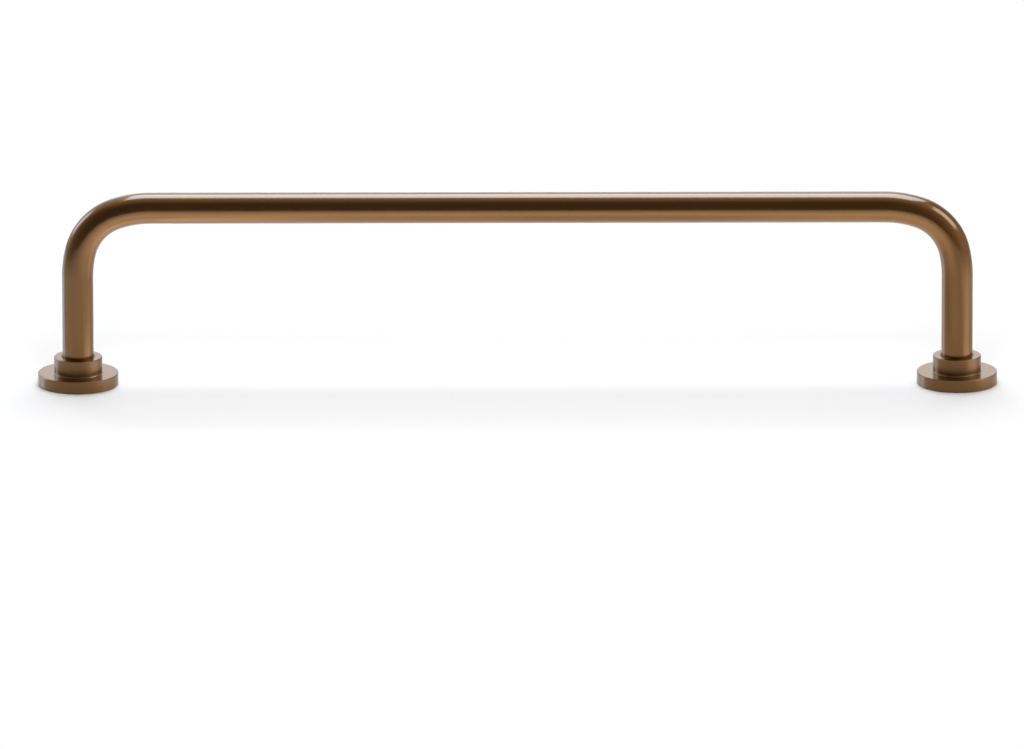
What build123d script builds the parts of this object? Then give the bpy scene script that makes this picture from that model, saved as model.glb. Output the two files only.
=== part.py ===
from build123d import *
import os
from math import cos, radians, sin, tan

# Arch pull: one solid round bar bent into a D, its two ends seated in turned bases.
# Lengths are in millimetres and angles in degrees.
# +X runs along the pull and +Z points away from the drawer front.
# The origin is midway between the two bases, on the mounting face.

# The pull as a whole
hole_spacing = 224.0            # screw centre to screw centre, seven steps of 32
projection = 50.4               # mounting face to the outer side of the bar

# The bar and its two bends, each a tight arc that eases into both straight runs
bar_diameter = 8.0
bend_radius = 13.9              # tight middle of the bend, on the centreline
easing_radius = 28.0            # wider arcs before and after it, on the centreline
leg_easing_angle = 14.0         # turned by the wide arc next to the leg
grip_easing_angle = 18.0        # turned by the wide arc next to the straight grip
bar_end_chamfer = 0.4

# The turned bases, each a flange with a collar standing on it
flange_brim = 4.1               # width of the flange's top around the collar
flange_thickness = 3.2
collar_wall = 2.1               # metal around the socket
collar_height = 4.2
top_edge_chamfer = 0.15         # outer edges of the flange's top and the collar's top
collar_root_radius = 0.3        # fillet between the collar and the flange
foot_edge_chamfer = 0.3         # lower edge of the flange
bearing_rim = 3.0               # ring left standing round the underside, edge chamfer included
relief_depth = 0.3              # the middle of the underside is faced back by this

# The socket in each collar that takes the end of the bar
socket_depth = 3.0
socket_clearance = 0.05         # all round the bar
socket_lead_in = 0.3

# The machine screw that holds each end from behind, metric coarse thread
screw_diameter = 4.0
thread_pitch = 0.7
screw_clearance = 0.15          # all round the screw in the base
thread_lead_in = 0.15           # how far the countersink opens past the screw
tapped_depth = 12.0             # full thread above the bar's end
drill_run_out = 2.0             # drilled past the full thread
drill_point_angle = 118.0

# Worked out from the sizes above
half_spacing = hole_spacing / 2
bar_radius = bar_diameter / 2
socket_radius = bar_radius + socket_clearance
collar_radius = socket_radius + collar_wall
flange_radius = collar_radius + flange_brim
relief_radius = flange_radius - bearing_rim
screw_hole_radius = screw_diameter / 2 + screw_clearance
base_height = flange_thickness + collar_height
seat_height = base_height - socket_depth

grip_height = projection - bar_radius
bend_angle = 90.0 - leg_easing_angle - grip_easing_angle
leg_turn = radians(leg_easing_angle)
grip_turn = radians(grip_easing_angle)
bend_rise = (
    easing_radius * sin(leg_turn)
    + bend_radius * (cos(grip_turn) - sin(leg_turn))
    + easing_radius * (1 - cos(grip_turn))
)
bend_start_height = grip_height - bend_rise

tap_drill_radius = (screw_diameter - thread_pitch) / 2
thread_mouth_radius = screw_diameter / 2 + thread_lead_in
thread_mouth_depth = thread_mouth_radius - tap_drill_radius
drill_depth = tapped_depth + drill_run_out
drill_point_length = tap_drill_radius / tan(radians(drill_point_angle / 2))

os.makedirs("parts", exist_ok=True)


def upright_plane(axis_x):
    """The plane of a half section that is turned about the base's axis at axis_x."""
    return Plane(origin=(axis_x, 0, 0), x_dir=(1, 0, 0), z_dir=(0, -1, 0))


def rings_at(turned, height):
    """The circular edges at one height of a turned part, smallest first."""
    circles = turned.edges().filter_by(GeomType.CIRCLE)
    return circles.filter_by_position(Axis.Z, height, height).sort_by(SortBy.RADIUS)


# Bar: a circle swept along straight runs and tangent arcs, then drilled and tapped
with BuildPart() as bar:
    with BuildLine(Plane.XZ) as centreline:
        leg = Line((-half_spacing, seat_height), (-half_spacing, bend_start_height))
        lower_ease = JernArc(leg @ 1, leg % 1, easing_radius, -leg_easing_angle)
        bend = JernArc(lower_ease @ 1, lower_ease % 1, bend_radius, -bend_angle)
        upper_ease = JernArc(bend @ 1, bend % 1, easing_radius, -grip_easing_angle)
        mirror(about=Plane.YZ)
        grip_end = (upper_ease @ 1).X
        Line((grip_end, grip_height), (-grip_end, grip_height))
    with BuildSketch(Plane.XY.offset(seat_height)):
        with Locations((-half_spacing, 0)):
            Circle(bar_radius)
    sweep(path=centreline.wire())
    chamfer(bar.faces().group_by(Axis.Z)[0].edges(), bar_end_chamfer)
    for axis_x in (-half_spacing, half_spacing):
        with BuildSketch(upright_plane(axis_x)):
            with BuildLine():
                Polyline(
                    (0, seat_height),
                    (thread_mouth_radius, seat_height),
                    (tap_drill_radius, seat_height + thread_mouth_depth),
                    (tap_drill_radius, seat_height + drill_depth),
                    (0, seat_height + drill_depth + drill_point_length),
                    close=True,
                )
            make_face()
        revolve(axis=Axis((axis_x, 0, 0), (0, 0, 1)), mode=Mode.SUBTRACT)
bar.part.label = "bar"
export_step(bar.part, "parts/bar.step")

# Bases: flange, collar and socket turned in one piece
for name, axis_x in (("left_base", -half_spacing), ("right_base", half_spacing)):
    with BuildPart() as base:
        with BuildSketch(upright_plane(axis_x)):
            with BuildLine():
                Polyline(
                    (screw_hole_radius, relief_depth),
                    (relief_radius, relief_depth),
                    (relief_radius, 0),
                    (flange_radius, 0),
                    (flange_radius, flange_thickness),
                    (collar_radius, flange_thickness),
                    (collar_radius, base_height),
                    (socket_radius, base_height),
                    (socket_radius, seat_height),
                    (screw_hole_radius, seat_height),
                    close=True,
                )
            make_face()
        revolve(axis=Axis((axis_x, 0, 0), (0, 0, 1)))
        chamfer(rings_at(base, 0)[-1], foot_edge_chamfer)
        fillet(rings_at(base, flange_thickness)[0], collar_root_radius)
        chamfer(rings_at(base, flange_thickness)[-1], top_edge_chamfer)
        chamfer(rings_at(base, base_height)[-1], top_edge_chamfer)
        chamfer(rings_at(base, base_height)[0], socket_lead_in)
    base.part.label = name
    export_step(base.part, f"parts/{name}.step")
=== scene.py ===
from math import atan2, cos, pi, radians, sin, sqrt, tan

import bmesh
import bpy
from mathutils import Matrix, Vector


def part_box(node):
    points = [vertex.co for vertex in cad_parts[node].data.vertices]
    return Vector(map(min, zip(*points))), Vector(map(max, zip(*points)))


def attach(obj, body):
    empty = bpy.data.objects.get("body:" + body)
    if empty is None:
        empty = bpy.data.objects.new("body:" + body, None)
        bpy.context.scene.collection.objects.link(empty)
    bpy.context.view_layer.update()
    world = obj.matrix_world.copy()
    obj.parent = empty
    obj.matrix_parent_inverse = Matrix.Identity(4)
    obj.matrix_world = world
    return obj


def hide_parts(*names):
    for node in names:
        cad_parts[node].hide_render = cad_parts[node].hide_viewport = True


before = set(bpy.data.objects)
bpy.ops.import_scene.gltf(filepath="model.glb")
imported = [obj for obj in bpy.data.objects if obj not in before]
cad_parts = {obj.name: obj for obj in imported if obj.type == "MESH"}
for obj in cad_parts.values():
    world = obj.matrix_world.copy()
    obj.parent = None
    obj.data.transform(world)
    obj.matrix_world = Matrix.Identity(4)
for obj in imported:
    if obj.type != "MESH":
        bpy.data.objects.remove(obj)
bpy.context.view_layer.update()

# The looks of an arch pull: a bent brass bar seated in two turned bases.
# Metres, in the part's own frame: +X along the pull, +Z out of the drawer front.

MM = 0.001

# Sizes read from the frame
bar_low, bar_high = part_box("bar")
base_low, base_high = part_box("left_base")
BAR_RADIUS = (bar_high.y - bar_low.y) / 2
HALF_SPACING = -(base_low.x + base_high.x) / 2
GRIP_HEIGHT = bar_high.z - BAR_RADIUS
SEAT_HEIGHT = bar_low.z
FLANGE_RADIUS = (base_high.x - base_low.x) / 2
BASE_HEIGHT = base_high.z

# The bend: a tight arc between two wider ones, radii on the centreline
BEND_RADIUS = 13.9 * MM
EASING_RADIUS = 28.0 * MM
LEG_EASING = radians(14.0)
GRIP_EASING = radians(18.0)
BAR_END_CHAMFER = 0.4 * MM

# The turned section of a base
COLLAR_RADIUS = 6.15 * MM
FLANGE_THICKNESS = 3.2 * MM
SOCKET_RADIUS = 4.05 * MM
SOCKET_LEAD_IN = 0.3 * MM
SCREW_HOLE_RADIUS = 2.15 * MM
RELIEF_RADIUS = FLANGE_RADIUS - 3.0 * MM
RELIEF_DEPTH = 0.3 * MM
ROOT_RADIUS = 0.3 * MM
EDGE_BREAK = 0.15 * MM
FOOT_CHAMFER = 0.3 * MM

# The tapped hole in each end of the bar
THREAD_MINOR_RADIUS = 1.65 * MM
THREAD_MAJOR_RADIUS = 2.0 * MM
THREAD_PITCH = 0.7 * MM
THREAD_TURNS = 16
THREAD_MOUTH_RADIUS = 2.15 * MM
DRILL_DEPTH = 14.0 * MM
DRILL_POINT = radians(118.0)

# The thread's groove, as shares of the pitch: half its mouth, and one flank
GROOVE_SHARE = 0.375
FLANK_SHARE = 0.3125
RUN_OUT_TURNS = 0.5

# How finely the shapes are cut up
BAR_SIDES = 72
BASE_SIDES = 144
ARC_STEP = radians(2.0)
FILLET_STEPS = 6
ROWS_PER_TURN = 8
SUPPORT = 0.03 * MM             # a narrow ring of faces next to a fillet
WELD = 0.0005 * MM
SHARP_ANGLE = radians(30.0)

# The finish: brass tones by shade, and how closely the marks lie, in waves per metre
BRASS_TONES = (
    (0.30, (0.285, 0.136, 0.037)),
    (0.50, (0.300, 0.145, 0.040)),
    (0.70, (0.315, 0.155, 0.044)),
)
ROUGHNESS_SPREAD = 0.02
LACQUER_IOR = 1.5
STREAKS_ALONG = 60.0
STREAKS_ACROSS = 4000.0
TURNING_MARKS = 9000.0
TURNING_DRIFT = 0.5
PATINA_WAVES = 60.0
STREAK_SHARE = 0.7
SHADE_RANGE = (0.3, 0.7)

# The walls by azimuth, in degrees from the front and to the right, and the ceiling
WALLS = (
    (-180, (1.00, 1.00, 1.00)),
    (-165, (0.85, 0.85, 0.85)),
    (-148, (0.60, 0.58, 0.55)),
    (-110, (0.44, 0.42, 0.38)),
    (-90, (0.25, 0.22, 0.18)),
    (-65, (0.14, 0.11, 0.09)),
    (-30, (0.09, 0.08, 0.07)),
    (-5, (0.09, 0.08, 0.07)),
    (20, (0.16, 0.13, 0.10)),
    (50, (0.36, 0.27, 0.17)),
    (80, (0.50, 0.42, 0.33)),
    (105, (0.50, 0.42, 0.33)),
    (130, (0.36, 0.27, 0.17)),
    (150, (0.38, 0.30, 0.22)),
    (166, (0.82, 0.80, 0.78)),
    (180, (1.00, 1.00, 1.00)),
)
CEILING = (0.45, 0.35, 0.26)
CEILING_START = radians(45.0)
CEILING_FULL = radians(85.0)

# The panels: azimuth and elevation in degrees, distance, width, height, radiance and colour
METAL_PANELS = (
    ("softbox", 168, 69, 0.9, 0.76, 0.60, 1.08, (1.35, 2.5, 5.0)),
    ("left_strip", -121, 23, 1.0, 0.30, 0.42, 1.2, (0.95, 1.5, 2.5)),
    ("right_strip", 90, 36, 1.0, 0.45, 0.50, 1.1, (0.95, 1.5, 2.5)),
)
TABLE_PANELS = (
    ("table_light", 180, 67, 0.9, 0.60, 0.60, 5.7, (0.98, 1.01, 1.06)),
    ("front_light", 0, 40, 1.0, 0.50, 0.50, 6.0, (0.98, 1.01, 1.06)),
)

# The table top as the camera sees it
WHITE = (1.0, 1.0, 1.0, 1.0)
BLACK = (0.0, 0.0, 0.0, 1.0)
FLOOR_HALF_WIDTH = 1.5
FLOOR_FRONT = -0.42
FLOOR_BACK = 1.5
FLOOR_DROP = 0.02 * MM
FLOOR_COLOUR = (0.80, 0.82, 0.84)
WHITE_NEAR = 0.10
FADE_START = 0.15
FADE_END = 0.40

# The table top as the metal sees it: painted light and shade from left to right, and painted shade behind,
# under the grip and round each foot
TABLE_PAINTED_TONES = (
    (0.25, (0.80, 0.87, 1.00)),
    (0.31, (0.82, 0.82, 0.85)),
    (0.50, (0.82, 0.80, 0.78)),
    (0.65, (0.85, 0.83, 0.80)),
    (0.75, (0.76, 0.72, 0.67)),
    (0.80, (1.00, 0.97, 0.93)),
)
PAINTED_TONE_REACH = 0.30
MIDDLE_SHADE = 0.76
MIDDLE_HALF_WIDTH = 0.045
MIDDLE_END = 0.085
MIDDLE_FRONT = -0.070
MIDDLE_FULL = -0.030
REAR_SHADE = 0.72
REAR_START = -0.012
REAR_FULL = 0.020
FOOT_SHADE = 0.88
FOOT_SHADE_PLACE = 0.012
FOOT_SHADE_START = 0.010
FOOT_SHADE_END = 0.030
TABLE_ROUGHNESS = 0.25

# Painted light: a glowing fan on the table to the right of each leg, standing in for the light the leg
# throws
PAINTED_FAN_GLOW = 1.9
FAN_FADE = 0.03
FAN_START = 0.016
FAN_FULL = 0.024
FAN_AZIMUTH = radians(70.0)
FAN_CORE = radians(12.0)
FAN_EDGE = radians(36.0)

# The camera
SENSOR_WIDTH = 36.0
CAMERA_DISTANCE = 5.0
CAMERA_ELEVATION = radians(15.6)
CAMERA_ROLL = radians(-0.10)
CAMERA_AIM = Vector((-0.00142, 0.0, 0.00232))
VIEW_WIDTH = 0.2611


class Wire:
    """An output socket of a node tree. Arithmetic on wires adds Math nodes."""

    def __init__(self, net, socket):
        self.net = net
        self.socket = socket

    def __add__(self, other):
        return self.net.math("ADD", self, other)

    def __sub__(self, other):
        return self.net.math("SUBTRACT", self, other)

    def __rsub__(self, other):
        return self.net.math("SUBTRACT", other, self)

    def __mul__(self, other):
        return self.net.math("MULTIPLY", self, other)

    def __rmul__(self, other):
        return self.net.math("MULTIPLY", other, self)

    def __truediv__(self, other):
        return self.net.math("DIVIDE", self, other)

    def __rtruediv__(self, other):
        return self.net.math("DIVIDE", other, self)


class Net:
    """A node tree under construction."""

    def __init__(self, tree):
        self.tree = tree

    def node(self, kind, settings=None, inputs=None, output=0):
        """Adds a node: its settings first, then its sockets' values or links; gives one output."""
        new = self.tree.nodes.new(kind)
        for name, value in (settings or {}).items():
            if name == "stops":
                set_stops(new.color_ramp, value)
            else:
                setattr(new, name, value)
        for name, value in (inputs or {}).items():
            if isinstance(value, Wire):
                self.tree.links.new(value.socket, new.inputs[name])
            else:
                new.inputs[name].default_value = value
        return Wire(self, new.outputs[output]) if new.outputs else None

    def math(self, operation, *values):
        return self.node("ShaderNodeMath", {"operation": operation}, dict(enumerate(values)))

    def step(self, value, low, high, from_value=0.0, to_value=1.0):
        """A smooth step from from_value to to_value as value goes from low to high."""
        settings = {"interpolation_type": "SMOOTHSTEP"}
        span = {0: value, 1: low, 2: high, 3: from_value, 4: to_value}
        return self.node("ShaderNodeMapRange", settings, span)

    def vector(self, x, y, z):
        return self.node("ShaderNodeCombineXYZ", {}, {0: x, 1: y, 2: z})

    def parts(self, vector):
        """The three numbers of a vector."""
        split = self.node("ShaderNodeSeparateXYZ", {}, {0: vector})
        return [Wire(self, socket) for socket in split.socket.node.outputs]

    def noise(self, vector, scale, detail):
        """Noise about 0.5 over a vector of coordinates."""
        return self.node("ShaderNodeTexNoise", {}, {"Vector": vector, "Scale": scale, "Detail": detail})

    def blend(self, mask, first, second):
        """Two colours mixed by a mask."""
        return self.node("ShaderNodeMix", {"data_type": "RGBA"}, {0: mask, 6: first, 7: second}, 2)


def set_stops(ramp, stops):
    """Gives a colour ramp its stops, each a position and a colour."""
    for position, colour in stops[1:-1]:
        ramp.elements.new(position)
    for element, (position, colour) in zip(ramp.elements, stops):
        element.position = position
        element.color = (*colour, 1.0)


# Geometry node groups

def new_group(name, sizes):
    """A geometry node group with named inputs of the given kinds; gives its net and input wires."""
    tree = bpy.data.node_groups.new(name, "GeometryNodeTree")
    tree.interface.new_socket("Geometry", in_out="INPUT", socket_type="NodeSocketGeometry")
    tree.interface.new_socket("Geometry", in_out="OUTPUT", socket_type="NodeSocketGeometry")
    for label, kind in sizes.items():
        tree.interface.new_socket(label, in_out="INPUT", socket_type=kind)
    net = Net(tree)
    entry = tree.nodes.new("NodeGroupInput")
    return net, {socket.name: Wire(net, socket) for socket in entry.outputs if socket.name}


def close_group(net, geometry, material):
    """Ends a group: instances are realised and the material is set."""
    real = net.node("GeometryNodeRealizeInstances", {}, {"Geometry": geometry})
    dressed = net.node("GeometryNodeSetMaterial", {}, {"Geometry": real, "Material": material})
    leave = net.tree.nodes.new("NodeGroupOutput")
    net.tree.links.new(dressed.socket, leave.inputs["Geometry"])


def mesh_from(net, carrier, values):
    """The plain mesh that a group makes from an object, with the group's inputs set by identifier."""
    modifier = carrier.modifiers.new("shape", "NODES")
    modifier.node_group = net.tree
    for item in net.tree.interface.items_tree:
        if item.in_out == "INPUT" and item.name in values:
            modifier[item.identifier] = values[item.name]
    graph = bpy.context.evaluated_depsgraph_get()
    mesh = bpy.data.meshes.new_from_object(carrier.evaluated_get(graph))
    carrier.modifiers.remove(modifier)
    bpy.data.objects.remove(carrier)
    return mesh


def new_object(name, data):
    made = bpy.data.objects.new(name, data)
    bpy.context.scene.collection.objects.link(made)
    return made


# The bar

def arc_points(start, heading, radius, turn):
    """The points of a clockwise arc in the XZ plane after its start, and the heading it ends with."""
    steps = round(turn / ARC_STEP)
    centre = start + radius * Vector((sin(heading), -cos(heading)))
    points = []
    for index in range(1, steps + 1):
        turned = heading - turn * index / steps
        points.append(centre + radius * Vector((-sin(turned), cos(turned))))
    return points, heading - turn


def centreline_points():
    """The bar's centreline in the XZ plane, from the left foot to the right one."""
    bend = pi / 2 - LEG_EASING - GRIP_EASING
    rise = (
        EASING_RADIUS * sin(LEG_EASING)
        + BEND_RADIUS * (cos(GRIP_EASING) - sin(LEG_EASING))
        + EASING_RADIUS * (1 - cos(GRIP_EASING))
    )
    foot = Vector((-HALF_SPACING, SEAT_HEIGHT))
    leg_top = Vector((-HALF_SPACING, GRIP_HEIGHT - rise))
    lift = Vector((0, BAR_END_CHAMFER))
    half = [foot, foot + lift, foot + 1.5 * lift, leg_top - lift, leg_top]
    heading = pi / 2
    for radius, turn in ((EASING_RADIUS, LEG_EASING), (BEND_RADIUS, bend), (EASING_RADIUS, GRIP_EASING)):
        points, heading = arc_points(half[-1], heading, radius, turn)
        half += points
    half.append(half[-1] + Vector((BAR_END_CHAMFER, 0)))
    return half + [Vector((-point.x, point.y)) for point in reversed(half)]


def centreline_object():
    """The centreline as a curve. Its radius is a share of the bar's, smaller at the chamfered feet."""
    points = centreline_points()
    curve = bpy.data.curves.new("centreline", "CURVE")
    curve.dimensions = "3D"
    spline = curve.splines.new("POLY")
    spline.points.add(len(points) - 1)
    for place, point in zip(spline.points, points):
        place.co = (point.x, 0, point.y, 1)
    for foot in (spline.points[0], spline.points[-1]):
        foot.radius = 1 - BAR_END_CHAMFER / BAR_RADIUS
    return new_object("centreline", curve)


def bar_group(material):
    """A round bar along a curve, with its unbent coordinates kept for the brushed finish."""
    net, given = new_group("bent_bar", {"Radius": "NodeSocketFloat", "Sides": "NodeSocketInt"})
    around = {"Resolution": given["Sides"], "Radius": given["Radius"]}
    section = net.node("GeometryNodeCurvePrimitiveCircle", {}, around)
    kept = {"data_type": "FLOAT", "domain": "POINT"}
    length = net.node("GeometryNodeSplineParameter", {}, {}, 1)
    share = net.node("GeometryNodeSplineParameter", {}, {}, 0)
    line = {"Geometry": given["Geometry"], "Name": "along", "Value": length}
    ring = {"Geometry": section, "Name": "around", "Value": share * (2 * pi)}
    measured = net.node("GeometryNodeStoreNamedAttribute", kept, line)
    divided = net.node("GeometryNodeStoreNamedAttribute", kept, ring)
    size = net.node("GeometryNodeInputRadius")
    lengthwise = {"Curve": measured, "Profile Curve": divided, "Scale": size}
    swept = net.node("GeometryNodeCurveToMesh", {}, lengthwise)
    along = net.node("GeometryNodeInputNamedAttribute", {"data_type": "FLOAT"}, {"Name": "along"})
    angle = net.node("GeometryNodeInputNamedAttribute", {"data_type": "FLOAT"}, {"Name": "around"})
    side = net.math("COSINE", angle) * given["Radius"]
    front = net.math("SINE", angle) * given["Radius"]
    unbent = {"Geometry": swept, "Name": "unbent", "Value": net.vector(along, side, front)}
    marked = net.node("GeometryNodeStoreNamedAttribute", {"data_type": "FLOAT_VECTOR"}, unbent)
    close_group(net, marked, material)
    return net


def thread_group(material):
    """A tapped thread up from its foot: a grid whose rows follow the helix, cut off square at both ends."""
    sizes = {
        "Minor radius": "NodeSocketFloat",
        "Major radius": "NodeSocketFloat",
        "Pitch": "NodeSocketFloat",
        "Turns": "NodeSocketInt",
        "Sides": "NodeSocketInt",
        "Rows per turn": "NodeSocketInt",
        "Foot": "NodeSocketVector",
    }
    net, given = new_group("tapped_thread", sizes)
    turns = given["Turns"]
    rows = (turns + 1) * given["Rows per turn"] + 1
    sheet = {"Size X": 1.0, "Size Y": 1.0, "Vertices X": given["Sides"] + 1, "Vertices Y": rows}
    grid = net.node("GeometryNodeMeshGrid", {}, sheet)
    x, y, _ = net.parts(net.node("GeometryNodeInputPosition"))
    share = x + 0.5
    phase = (y + 0.5) * (turns + 1)
    height = net.math("MAXIMUM", net.math("MINIMUM", phase - 1 + share, turns), 0.0)
    flank = (GROOVE_SHARE - net.math("ABSOLUTE", net.math("FRACT", phase) - 0.5)) / FLANK_SHARE
    run_out = net.math("MINIMUM", height, turns - height) / RUN_OUT_TURNS
    groove = net.step(net.math("MINIMUM", flank, run_out), 0.0, 1.0)
    radius = given["Minor radius"] + (given["Major radius"] - given["Minor radius"]) * groove
    angle = share * (2 * pi)
    east = net.math("COSINE", angle) * radius
    north = net.math("SINE", angle) * radius
    place = net.vector(east, north, height * given["Pitch"])
    lifted = net.node("ShaderNodeVectorMath", {"operation": "ADD"}, {0: place, 1: given["Foot"]})
    wound = net.node("GeometryNodeSetPosition", {}, {"Geometry": grid, "Position": lifted})
    welded = net.node("GeometryNodeMergeByDistance", {}, {"Geometry": wound, "Distance": WELD})
    close_group(net, welded, material)
    return net


def add_turned(shell, axis_x, profile, sides, closed=False):
    """Adds a surface of revolution about an upright axis. Profile points are radius and height."""
    rings = []
    for radius, height in profile:
        if radius == 0:
            rings.append([shell.verts.new((axis_x, 0, height))] * sides)
            continue
        ring = []
        for index in range(sides):
            angle = 2 * pi * index / sides
            ring.append(shell.verts.new((axis_x + radius * cos(angle), radius * sin(angle), height)))
        rings.append(ring)
    if closed:
        rings.append(rings[0])
    for lower, upper in zip(rings, rings[1:]):
        for index in range(sides):
            after = (index + 1) % sides
            corners = [lower[index], lower[after], upper[after], upper[index]]
            shell.faces.new(list(dict.fromkeys(corners)))


def finished_piece(name, shell, node, material):
    """Welds a shell, turns its faces outwards, and puts it in the place of its CAD node."""
    bmesh.ops.remove_doubles(shell, verts=shell.verts, dist=WELD)
    bmesh.ops.recalc_face_normals(shell, faces=shell.faces)
    mesh = bpy.data.meshes.new(name)
    shell.to_mesh(mesh)
    shell.free()
    mesh.materials.append(material)
    for face in mesh.polygons:
        face.use_smooth = True
        face.material_index = 0
    mesh.set_sharp_from_angle(angle=SHARP_ANGLE)
    piece = new_object(name, mesh)
    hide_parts(node)
    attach(piece, "root")
    return piece


def make_bar(material):
    """The bent bar with a countersunk, tapped and drilled hole in each end."""
    sizes = {"Radius": BAR_RADIUS, "Sides": BAR_SIDES}
    shell = bmesh.new()
    bent = mesh_from(bar_group(material), centreline_object(), sizes)
    shell.from_mesh(bent)
    mouth_top = SEAT_HEIGHT + THREAD_MOUTH_RADIUS - THREAD_MINOR_RADIUS
    thread_top = mouth_top + THREAD_TURNS * THREAD_PITCH
    drilled = SEAT_HEIGHT + DRILL_DEPTH
    point = drilled + THREAD_MINOR_RADIUS / tan(DRILL_POINT / 2)
    threads = thread_group(material)
    for axis_x in (-HALF_SPACING, HALF_SPACING):
        thread_sizes = {
            "Minor radius": THREAD_MINOR_RADIUS,
            "Major radius": THREAD_MAJOR_RADIUS,
            "Pitch": THREAD_PITCH,
            "Turns": THREAD_TURNS,
            "Sides": BAR_SIDES,
            "Rows per turn": ROWS_PER_TURN,
            "Foot": (axis_x, 0.0, mouth_top),
        }
        blank = new_object("thread_blank", bpy.data.meshes.new("thread_blank"))
        shell.from_mesh(mesh_from(threads, blank, thread_sizes))
        end_face = (
            (BAR_RADIUS - BAR_END_CHAMFER, SEAT_HEIGHT),
            (THREAD_MOUTH_RADIUS, SEAT_HEIGHT),
            (THREAD_MINOR_RADIUS, mouth_top),
        )
        add_turned(shell, axis_x, end_face, BAR_SIDES)
        drill_end = ((THREAD_MINOR_RADIUS, thread_top), (THREAD_MINOR_RADIUS, drilled), (0, point))
        add_turned(shell, axis_x, drill_end, BAR_SIDES)
    return finished_piece("bent_bar", shell, "bar", material)


# The bases

def base_profile():
    """The closed half section of a base: radius and height, from the screw hole outwards."""
    neck = COLLAR_RADIUS + ROOT_RADIUS
    fillet = []
    for index in range(FILLET_STEPS + 1):
        angle = pi / 2 * index / FILLET_STEPS
        fillet.append((neck - ROOT_RADIUS * sin(angle), FLANGE_THICKNESS + ROOT_RADIUS * (1 - cos(angle))))
    return [
        (SCREW_HOLE_RADIUS, RELIEF_DEPTH),
        (RELIEF_RADIUS, RELIEF_DEPTH),
        (RELIEF_RADIUS, 0.0),
        (FLANGE_RADIUS - FOOT_CHAMFER, 0.0),
        (FLANGE_RADIUS, FOOT_CHAMFER),
        (FLANGE_RADIUS, FLANGE_THICKNESS - EDGE_BREAK),
        (FLANGE_RADIUS - EDGE_BREAK, FLANGE_THICKNESS),
        (neck + SUPPORT, FLANGE_THICKNESS),
        *fillet,
        (COLLAR_RADIUS, FLANGE_THICKNESS + ROOT_RADIUS + SUPPORT),
        (COLLAR_RADIUS, BASE_HEIGHT - EDGE_BREAK),
        (COLLAR_RADIUS - EDGE_BREAK, BASE_HEIGHT),
        (SOCKET_RADIUS + SOCKET_LEAD_IN, BASE_HEIGHT),
        (SOCKET_RADIUS, BASE_HEIGHT - SOCKET_LEAD_IN),
        (SOCKET_RADIUS, SEAT_HEIGHT),
        (SCREW_HOLE_RADIUS, SEAT_HEIGHT),
    ]


def make_base(name, axis_x, node, material):
    """A base turned from its half section about the screw's axis."""
    shell = bmesh.new()
    add_turned(shell, axis_x, base_profile(), BASE_SIDES, closed=True)
    return finished_piece(name, shell, node, material)


# The finish

def new_material(name):
    material = bpy.data.materials.new(name)
    material.use_nodes = True
    material.node_tree.nodes.clear()
    return material, Net(material.node_tree)


def brass(name, streak_lines, roughness, depth, coat_roughness):
    """Aged brass under clear lacquer. The function streak_lines gives the brush lines' coordinates."""
    material, net = new_material(name)
    streaks = net.noise(streak_lines(net), 1.0, 3.0)
    patina = net.noise(object_place(net), PATINA_WAVES, 2.0)
    shade = STREAK_SHARE * streaks + (1 - STREAK_SHARE) * patina
    tone = net.node("ShaderNodeValToRGB", {"stops": BRASS_TONES}, {0: shade})
    ground = net.step(shade, *SHADE_RANGE, roughness - ROUGHNESS_SPREAD, roughness + ROUGHNESS_SPREAD)
    lines = {"Strength": 1.0, "Distance": depth, "Height": streaks}
    brushed = net.node("ShaderNodeBump", {}, lines)
    finish = {
        "Base Color": tone,
        "Metallic": 1.0,
        "Roughness": ground,
        "Coat Weight": 1.0,
        "Coat Roughness": coat_roughness,
        "Coat IOR": LACQUER_IOR,
        "Normal": brushed,
    }
    surface = net.node("ShaderNodeBsdfPrincipled", {}, finish)
    net.node("ShaderNodeOutputMaterial", {}, {"Surface": surface})
    return material


def unbent_lines(net):
    """Brush lines along the bar: long in the first unbent coordinate, fine round the section."""
    unbent = net.node("ShaderNodeAttribute", {"attribute_name": "unbent"}, {}, 1)
    along, side, front = net.parts(unbent)
    return net.vector(along * STREAKS_ALONG, side * STREAKS_ACROSS, front * STREAKS_ACROSS)


def object_place(net):
    return net.node("ShaderNodeTexCoord", {}, {}, 3)


def turned_lines(axis_x):
    """Tool marks round a base: rings in radius and height about the base's own axis."""
    def lines(net):
        x, y, z = net.parts(object_place(net))
        east = x - axis_x
        radius = net.math("SQRT", east * east + y * y)
        angle = net.math("ARCTAN2", y, east)
        drift = net.math("COSINE", angle) * TURNING_DRIFT
        return net.vector(radius * TURNING_MARKS, z * TURNING_MARKS, drift)
    return lines


# The studio

def light_path(net, name):
    return net.node("ShaderNodeLightPath", {}, {}, name)


def make_world():
    """A room for the metal, bright behind the object and dark in front, and white for the camera."""
    world = bpy.data.worlds.new("studio")
    world.use_nodes = True
    world.node_tree.nodes.clear()
    net = Net(world.node_tree)
    x, y, z = net.parts(net.node("ShaderNodeTexCoord", {}, {}, 0))
    azimuth = net.math("ARCTAN2", x, -1 * y)
    around = [(0.5 + degrees / 360, colour) for degrees, colour in WALLS]
    walls = net.node("ShaderNodeValToRGB", {"stops": around}, {0: azimuth / (2 * pi) + 0.5})
    overhead = net.step(net.math("ARCSINE", z), CEILING_START, CEILING_FULL)
    room = net.blend(overhead, walls, (*CEILING, 1.0))
    lighting = net.node("ShaderNodeBackground", {}, {"Color": room, "Strength": 1.0})
    backdrop = net.node("ShaderNodeBackground", {}, {"Color": WHITE, "Strength": 1.0})
    seen = light_path(net, "Is Camera Ray")
    both = net.node("ShaderNodeMixShader", {}, {0: seen, 1: lighting, 2: backdrop})
    net.node("ShaderNodeOutputWorld", {}, {"Surface": both})
    bpy.context.scene.world = world


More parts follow.
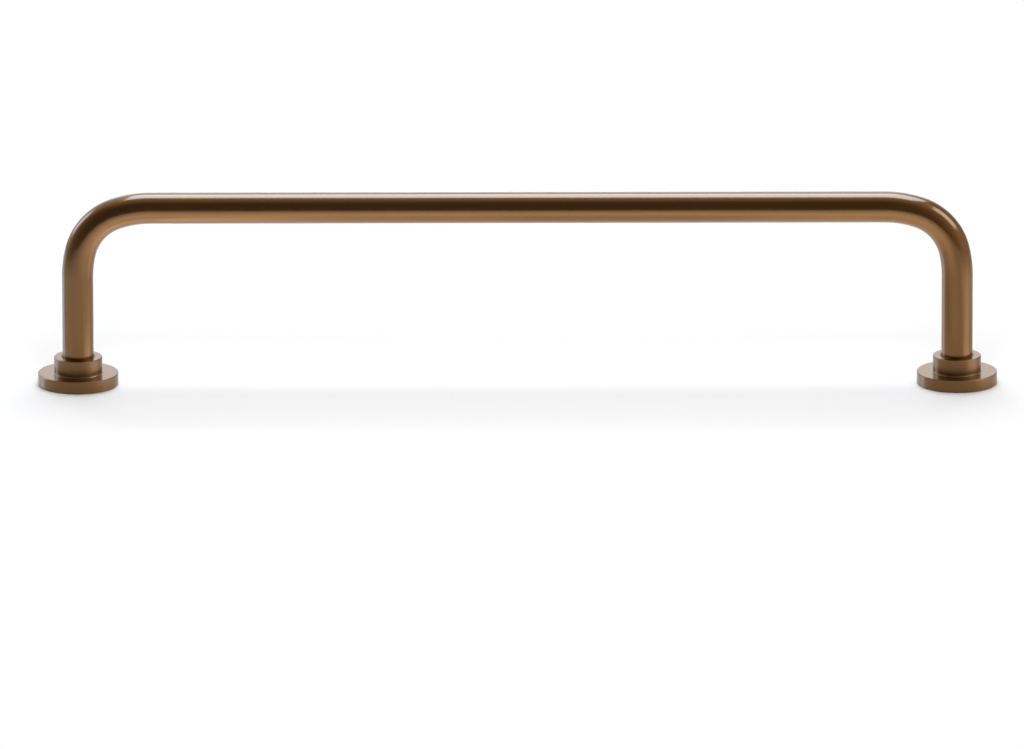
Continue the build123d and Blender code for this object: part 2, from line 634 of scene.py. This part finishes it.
def painted_light_fan(net, x, y):
    """Painted light: a glow on the table to the right of each leg, standing in for the light it throws,
    strongest close to the base.
    """
    east = x - HALF_SPACING * net.math("SIGN", x)
    reach = net.math("SQRT", east * east + y * y)
    turned = net.math("ARCTAN2", east, -1 * y) - FAN_AZIMUTH
    spread = net.step(net.math("ABSOLUTE", turned), FAN_CORE, FAN_EDGE, PAINTED_FAN_GLOW, 0.0)
    fade = FAN_FADE / (reach + FAN_FADE)
    return spread * net.step(reach, FAN_START, FAN_FULL) * fade * fade


def table_in_metal(net, x, y):
    """The table as the metal sees it: painted light and shade across it, painted shade behind, under the
    grip and round each foot, glossier at a glance, and a painted glow of light beside each leg.
    """
    across = net.math("ABSOLUTE", x)
    aside = across - HALF_SPACING
    before = y + FOOT_SHADE_PLACE
    from_foot = net.math("SQRT", aside * aside + before * before)
    # painted light and shade: the table's brightness and hue change from left to right, seen only in the
    # metal
    painted_tone = net.node("ShaderNodeValToRGB", {"stops": TABLE_PAINTED_TONES}, {0: x / (2 * PAINTED_TONE_REACH) + 0.5})
    rear = net.step(y, REAR_START, REAR_FULL, 1.0, REAR_SHADE)
    foot = net.step(from_foot, FOOT_SHADE_START, FOOT_SHADE_END, FOOT_SHADE, 1.0)
    inner = net.step(across, MIDDLE_HALF_WIDTH, MIDDLE_END, 1.0, 0.0)
    under = net.step(y, MIDDLE_FRONT, MIDDLE_FULL)
    middle = 1 - inner * under * (1 - MIDDLE_SHADE)
    # painted shade: the table is darker round each foot, behind the grip and under it, seen only in the
    # metal
    shade = foot * net.math("MINIMUM", rear, middle)
    sheet = net.node("ShaderNodeBsdfDiffuse", {}, {"Color": net.blend(shade, BLACK, painted_tone)})
    gloss = net.node("ShaderNodeBsdfAnisotropic", {}, {"Roughness": TABLE_ROUGHNESS})
    facing = net.node("ShaderNodeLayerWeight", {}, {"Blend": 0.5}, "Facing")
    lit = net.node("ShaderNodeMixShader", {}, {0: facing * facing, 1: sheet, 2: gloss})
    # painted light: the table glows in a fan beside each leg, though it is no lamp
    painted_glow = net.node("ShaderNodeEmission", {}, {"Color": WHITE, "Strength": painted_light_fan(net, x, y)})
    return net.node("ShaderNodeAddShader", {}, {0: lit, 1: painted_glow})


def table_in_picture(net, x, y):
    """The table as the camera sees it: matt round the object, and white further out."""
    away = net.math("SQRT", x * x + y * y)
    matt = net.node("ShaderNodeBsdfDiffuse", {}, {"Color": (*FLOOR_COLOUR, 1.0)})
    white = net.node("ShaderNodeEmission", {}, {"Color": WHITE, "Strength": 1.0})
    lift = net.step(away, FADE_START, FADE_END, WHITE_NEAR, 1.0)
    return net.node("ShaderNodeMixShader", {}, {0: lift, 1: matt, 2: white})


def make_floor():
    """A pale table top under the object, clear when it is looked at from below."""
    shell = bmesh.new()
    corners = [(-FLOOR_HALF_WIDTH, FLOOR_FRONT), (FLOOR_HALF_WIDTH, FLOOR_FRONT)]
    corners += [(FLOOR_HALF_WIDTH, FLOOR_BACK), (-FLOOR_HALF_WIDTH, FLOOR_BACK)]
    shell.faces.new([shell.verts.new((x, y, 0)) for x, y in corners])
    mesh = bpy.data.meshes.new("table_top")
    shell.to_mesh(mesh)
    shell.free()
    floor = new_object("table_top", mesh)
    material, net = new_material("white_table")
    x, y, _ = net.parts(object_place(net))
    camera_looks = light_path(net, "Is Camera Ray")
    in_metal = table_in_metal(net, x, y)
    in_picture = table_in_picture(net, x, y)
    top = net.node("ShaderNodeMixShader", {}, {0: camera_looks, 1: in_metal, 2: in_picture})
    clear = net.node("ShaderNodeBsdfTransparent")
    backfacing = net.node("ShaderNodeNewGeometry", {}, {}, "Backfacing")
    below = net.math("MAXIMUM", backfacing, light_path(net, "Transparent Depth"))
    both = net.node("ShaderNodeMixShader", {}, {0: below, 1: top, 2: clear})
    net.node("ShaderNodeOutputMaterial", {}, {"Surface": both})
    mesh.materials.append(material)
    floor.location.z = -FLOOR_DROP


def seen_at(azimuth, elevation, distance):
    """A place seen from the object. Azimuths count in degrees from the front, to the right."""
    level = distance * cos(radians(elevation))
    turned = radians(azimuth)
    return Vector((level * sin(turned), -level * cos(turned), distance * sin(radians(elevation))))


def area_light(panel, in_metal):
    """A panel aimed at the object. It either shows in the metal or lights the table, not both."""
    name, azimuth, elevation, distance, width, height, radiance, colour = panel
    light = bpy.data.lights.new(name, "AREA")
    light.shape = "RECTANGLE"
    light.size = width
    light.size_y = height
    light.energy = radiance * width * height * pi
    light.color = colour
    lamp = new_object(name, light)
    lamp.location = seen_at(azimuth, elevation, distance)
    lamp.rotation_euler = lamp.location.to_track_quat("Z", "Y").to_euler()
    lamp.visible_glossy = in_metal
    lamp.visible_diffuse = not in_metal
    lamp.visible_camera = False


def make_camera():
    """A long lens at the photograph's height above the table."""
    data = bpy.data.cameras.new("camera")
    data.sensor_width = SENSOR_WIDTH
    data.lens = SENSOR_WIDTH * CAMERA_DISTANCE / VIEW_WIDTH
    data.clip_end = 10 * CAMERA_DISTANCE
    camera = new_object("camera", data)
    back = Vector((0, -cos(CAMERA_ELEVATION), sin(CAMERA_ELEVATION)))
    turn = (-back).to_track_quat("-Z", "Y").to_matrix() @ Matrix.Rotation(CAMERA_ROLL, 3, "Z")
    camera.matrix_world = Matrix.Translation(CAMERA_AIM + back * CAMERA_DISTANCE) @ turn.to_4x4()
    bpy.context.scene.camera = camera


make_bar(brass("aged_bar", unbent_lines, roughness=0.20, depth=0.001 * MM, coat_roughness=0.08))
for name, axis_x, node in (
    ("base_left", -HALF_SPACING, "left_base"),
    ("base_right", HALF_SPACING, "right_base"),
):
    lines = turned_lines(axis_x)
    turned = brass("aged_" + name, lines, roughness=0.30, depth=0.04 * MM, coat_roughness=0.15)
    make_base(name, axis_x, node, turned)

make_world()
make_floor()
for panel in METAL_PANELS:
    area_light(panel, True)
for panel in TABLE_PANELS:
    area_light(panel, False)
make_camera()
bpy.context.scene.view_settings.view_transform = "Standard"
